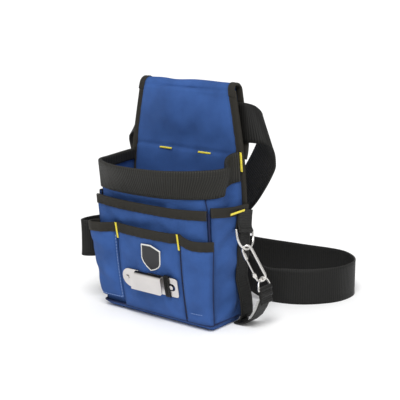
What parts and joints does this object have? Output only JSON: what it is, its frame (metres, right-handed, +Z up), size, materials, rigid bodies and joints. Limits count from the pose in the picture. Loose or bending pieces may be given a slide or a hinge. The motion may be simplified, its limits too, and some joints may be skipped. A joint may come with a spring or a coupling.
{
  "type": "tool pouch",
  "caption": "Belt-worn electrician tool pouch: open main compartment, layered front and side pockets, spring tape clip, snap hook on a D-ring, webbing belt through a rear tunnel.",
  "frame": {"origin": "centre of the base, on the surface that the pouch stands on", "axes": "+X to the right seen from the front, +Y back to the wearer, +Z up"},
  "size_m": [0.3914, 0.3271, 0.3129],
  "materials": {
    "blue_fabric": "woven polyester, coated back",
    "binding_tape": "grosgrain tape, folded over the edge",
    "black_webbing": "ribbed polypropylene webbing",
    "navy_piping": "piped seam",
    "yellow_thread": "bartack thread",
    "badge_vinyl": "soft moulded patch",
    "white_label": "satin label",
    "stiffener_board": "polyethylene sheet",
    "nickel_wire": "nickel plated",
    "nickel_sheet": "nickel plated sheet",
    "buckle_plastic": "fine grain"
  },
  "bodies": {
    "pouch": {"base_panel": "blue_fabric", "base_board": "stiffener_board", "base_piping": "navy_piping", "back_panel": "blue_fabric", "back_stiffener": "stiffener_board", "back_lining": "blue_fabric", "back_binding_left": "binding_tape", "back_binding_right": "binding_tape", "tunnel_fold": "blue_fabric", "tunnel_flap": "blue_fabric", "tunnel_binding": "binding_tape", "front_panel": "blue_fabric", "gusset_left": "blue_fabric", "gusset_right": "blue_fabric", "rim_webbing": "black_webbing", "rim_lining_tape": "binding_tape", "second_pocket": "blue_fabric", "second_pocket_binding": "binding_tape", "side_pocket_left": "blue_fabric", "side_pocket_left_binding": "binding_tape", "side_pocket_right": "blue_fabric", "side_pocket_right_binding": "binding_tape", "screwdriver_pocket": "blue_fabric", "middle_pocket": "blue_fabric", "right_pocket": "blue_fabric", "front_pocket_binding": "binding_tape", "bartacks": "yellow_thread", "badge_patch": "badge_vinyl", "tape_clip_plate": "nickel_sheet", "tape_clip_keeper": "black_webbing", "tape_clip_rivets": "nickel_sheet", "tool_loop_front": "black_webbing", "tool_loop_outer": "black_webbing", "tool_loop_rear": "black_webbing", "key_loop": "black_webbing", "side_strap": "black_webbing", "tape_strap": "black_webbing", "strap_label": "white_label"},
    "belt": {"belt_tunnel_run": "black_webbing", "belt_right_fold": "black_webbing", "belt_right_drop": "black_webbing", "belt_rear_turn": "black_webbing", "belt_back_run": "black_webbing", "belt_side_turn": "black_webbing", "belt_front_run": "black_webbing", "belt_left_drop": "black_webbing", "belt_left_fold": "black_webbing", "belt_tail": "black_webbing", "buckle_female": "buckle_plastic", "buckle_male": "buckle_plastic"},
    "belt_keeper": {"belt_keeper": "buckle_plastic"},
    "buckle_prong_lower": {"buckle_prong_lower": "buckle_plastic"},
    "buckle_prong_upper": {"buckle_prong_upper": "buckle_plastic"},
    "d_ring": {"d_ring": "nickel_wire"},
    "snap_hook": {"hook_body": "nickel_wire", "hook_pin": "nickel_wire"},
    "hook_gate": {"hook_gate": "nickel_wire"},
    "strap_ring": {"strap_ring": "nickel_wire", "strap_end_loop": "black_webbing"},
    "tape_clip_tongue": {"tape_clip_tongue": "nickel_sheet"}
  },
  "joints": [
    {"name": "belt_slide", "type": "slide", "parent": "pouch", "child": "belt", "axis": [1, 0, 0], "range_m": [-0.008, 0]},
    {"name": "keeper_slide", "type": "slide", "parent": "belt", "child": "belt_keeper", "axis": [0.9951, 0.0993, 0], "range_m": [-0.006, 0.006]},
    {"name": "prong_upper_press", "type": "hinge", "parent": "belt", "child": "buckle_prong_upper", "pos_m": [-0.13152, 0.22404, 0.0463], "axis": [-0.1149, 0.9934, 0], "range_deg": [0, 3], "stiffness_Nm_per_rad": 0.4},
    {"name": "prong_lower_press", "type": "hinge", "parent": "belt", "child": "buckle_prong_lower", "pos_m": [-0.13152, 0.22404, 0.0143], "axis": [-0.1149, 0.9934, 0], "range_deg": [-3, 0], "stiffness_Nm_per_rad": 0.4},
    {"name": "d_ring_swing", "type": "hinge", "parent": "pouch", "child": "d_ring", "pos_m": [0.107, 0.013, 0.128], "axis": [0, -0.9781, 0.2079], "range_deg": [-6, 8]},
    {"name": "hook_rock", "type": "hinge", "parent": "d_ring", "child": "snap_hook", "pos_m": [0.1141, 0.0081, 0.1052], "axis": [-0.61, 0.7886, -0.0777], "range_deg": [-1.5, 1]},
    {"name": "hook_gate_open", "type": "hinge", "parent": "snap_hook", "child": "hook_gate", "pos_m": [0.12436, 0.01261, 0.07043], "axis": [-0.61, 0.7886, -0.0777], "range_deg": [0, 16], "stiffness_Nm_per_rad": 0.05},
    {"name": "strap_ring_swing", "type": "hinge", "parent": "pouch", "child": "strap_ring", "pos_m": [0.107, 0.013, 0.128], "axis": [0, -0.9781, 0.2079], "range_deg": [-6, 8]},
    {"name": "clip_tongue_lift", "type": "hinge", "parent": "pouch", "child": "tape_clip_tongue", "pos_m": [0.0035, -0.05985, 0.06469], "axis": [-1, 0, 0], "range_deg": [0, 6], "stiffness_Nm_per_rad": 1.5}
  ],
  "couplings": [
    {"joint": "prong_lower_press", "follows": "prong_upper_press", "ratio": -1},
    {"joint": "strap_ring_swing", "follows": "d_ring_swing", "ratio": 1}
  ]
}
